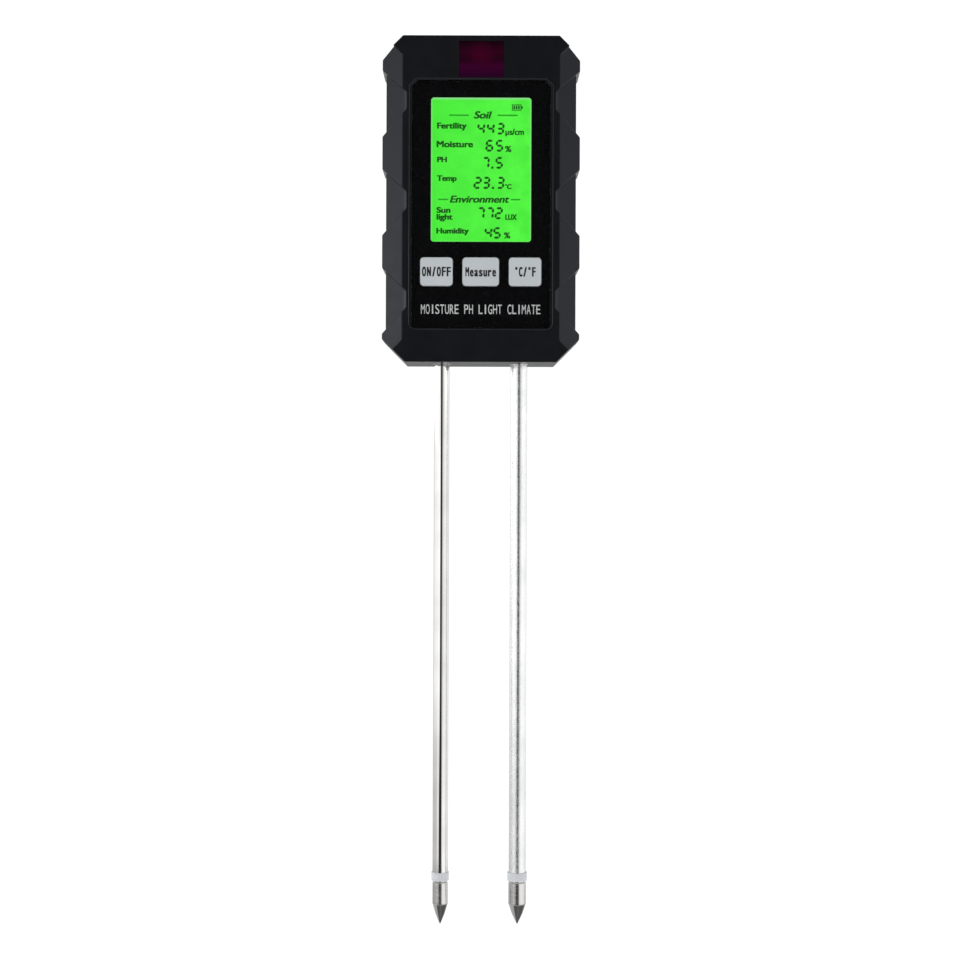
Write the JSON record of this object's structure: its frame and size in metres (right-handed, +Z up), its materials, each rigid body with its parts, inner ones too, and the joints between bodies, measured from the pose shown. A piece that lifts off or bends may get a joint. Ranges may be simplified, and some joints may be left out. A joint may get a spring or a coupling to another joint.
{
  "type": "soil moisture meter",
  "caption": "Hand-held soil meter: a dark display case with a lit panel and keys, on long metal soil probes with insulated tips.",
  "frame": {"origin": "midway between the two probes, on the underside of the case", "axes": "+Z up along the probes, which point down; the display faces -Y; +X is to the right seen from the display side"},
  "size_m": [0.072, 0.0285, 0.3243],
  "materials": {
    "case_plastic": "fine matt moulded texture",
    "clear_acrylic": "clear polished",
    "black_print": "black print",
    "red_filter": "dark red, translucent",
    "key_plastic": "satin light grey",
    "black_plastic": "moulded",
    "switch_metal": "stamped",
    "lcd_glass": "lit green display",
    "zebra_rubber": "striped elastomer",
    "light_guide": "lit light guide",
    "white_plastic": "moulded",
    "board": "green solder mask",
    "sensor_lens": "clear dome",
    "screw_steel": "zinc plated",
    "stainless": "polished",
    "alloy": "drawn, satin",
    "brass_nut": "turned",
    "lead_insulation": "soft",
    "cell_jacket": "printed sleeve",
    "seal_rubber": "soft"
  },
  "bodies": {
    "meter": {"front_cover": "case_plastic", "rear_cover": "case_plastic", "display_lens": "clear_acrylic", "panel_mask": "black_print", "sensor_window": "red_filter", "switch_bodies": "switch_metal", "lcd_panel": "lcd_glass", "contact_strips": "zebra_rubber", "backlight_panel": "light_guide", "backlight_leds": "white_plastic", "lcd_frame": "white_plastic", "main_pcb": "board", "main_chip": "black_plastic", "air_sensor": "black_plastic", "light_sensor": "sensor_lens", "pcb_screws": "screw_steel", "case_screws": "screw_steel", "bracket_screws": "screw_steel", "steel_probe": "stainless", "steel_insulator": "white_plastic", "steel_tip": "stainless", "steel_bushing": "stainless", "alloy_probe": "alloy", "alloy_insulator": "white_plastic", "alloy_tip": "alloy", "alloy_bushing": "alloy", "probe_bracket": "black_plastic", "solder_lugs": "switch_metal", "probe_nuts": "brass_nut", "steel_tip_lead": "lead_insulation", "alloy_tip_lead": "lead_insulation", "probe_leads": "lead_insulation", "battery_leads": "lead_insulation", "batteries": "cell_jacket", "battery_contacts": "switch_metal", "battery_springs": "screw_steel", "case_seal": "seal_rubber"},
    "power_button": {"power_key": "key_plastic", "power_plunger": "black_plastic"},
    "measure_button": {"measure_key": "key_plastic", "measure_plunger": "black_plastic"},
    "unit_button": {"unit_key": "key_plastic", "unit_plunger": "black_plastic"},
    "hatch": {"battery_cover": "case_plastic"}
  },
  "joints": [
    {"name": "power_press", "type": "slide", "parent": "meter", "child": "power_button", "axis": [0, 1, 0], "range_m": [0, 0.0005], "stiffness_N_per_m": 2000, "springref_m": -0.0003},
    {"name": "measure_press", "type": "slide", "parent": "meter", "child": "measure_button", "axis": [0, 1, 0], "range_m": [0, 0.0005], "stiffness_N_per_m": 2000, "springref_m": -0.0003},
    {"name": "unit_press", "type": "slide", "parent": "meter", "child": "unit_button", "axis": [0, 1, 0], "range_m": [0, 0.0005], "stiffness_N_per_m": 2000, "springref_m": -0.0003},
    {"name": "hatch_tip", "type": "hinge", "parent": "meter", "child": "hatch", "pos_m": [0, 0.014, 0.0289], "axis": [-1, 0, 0], "range_deg": [0, 75]}
  ]
}
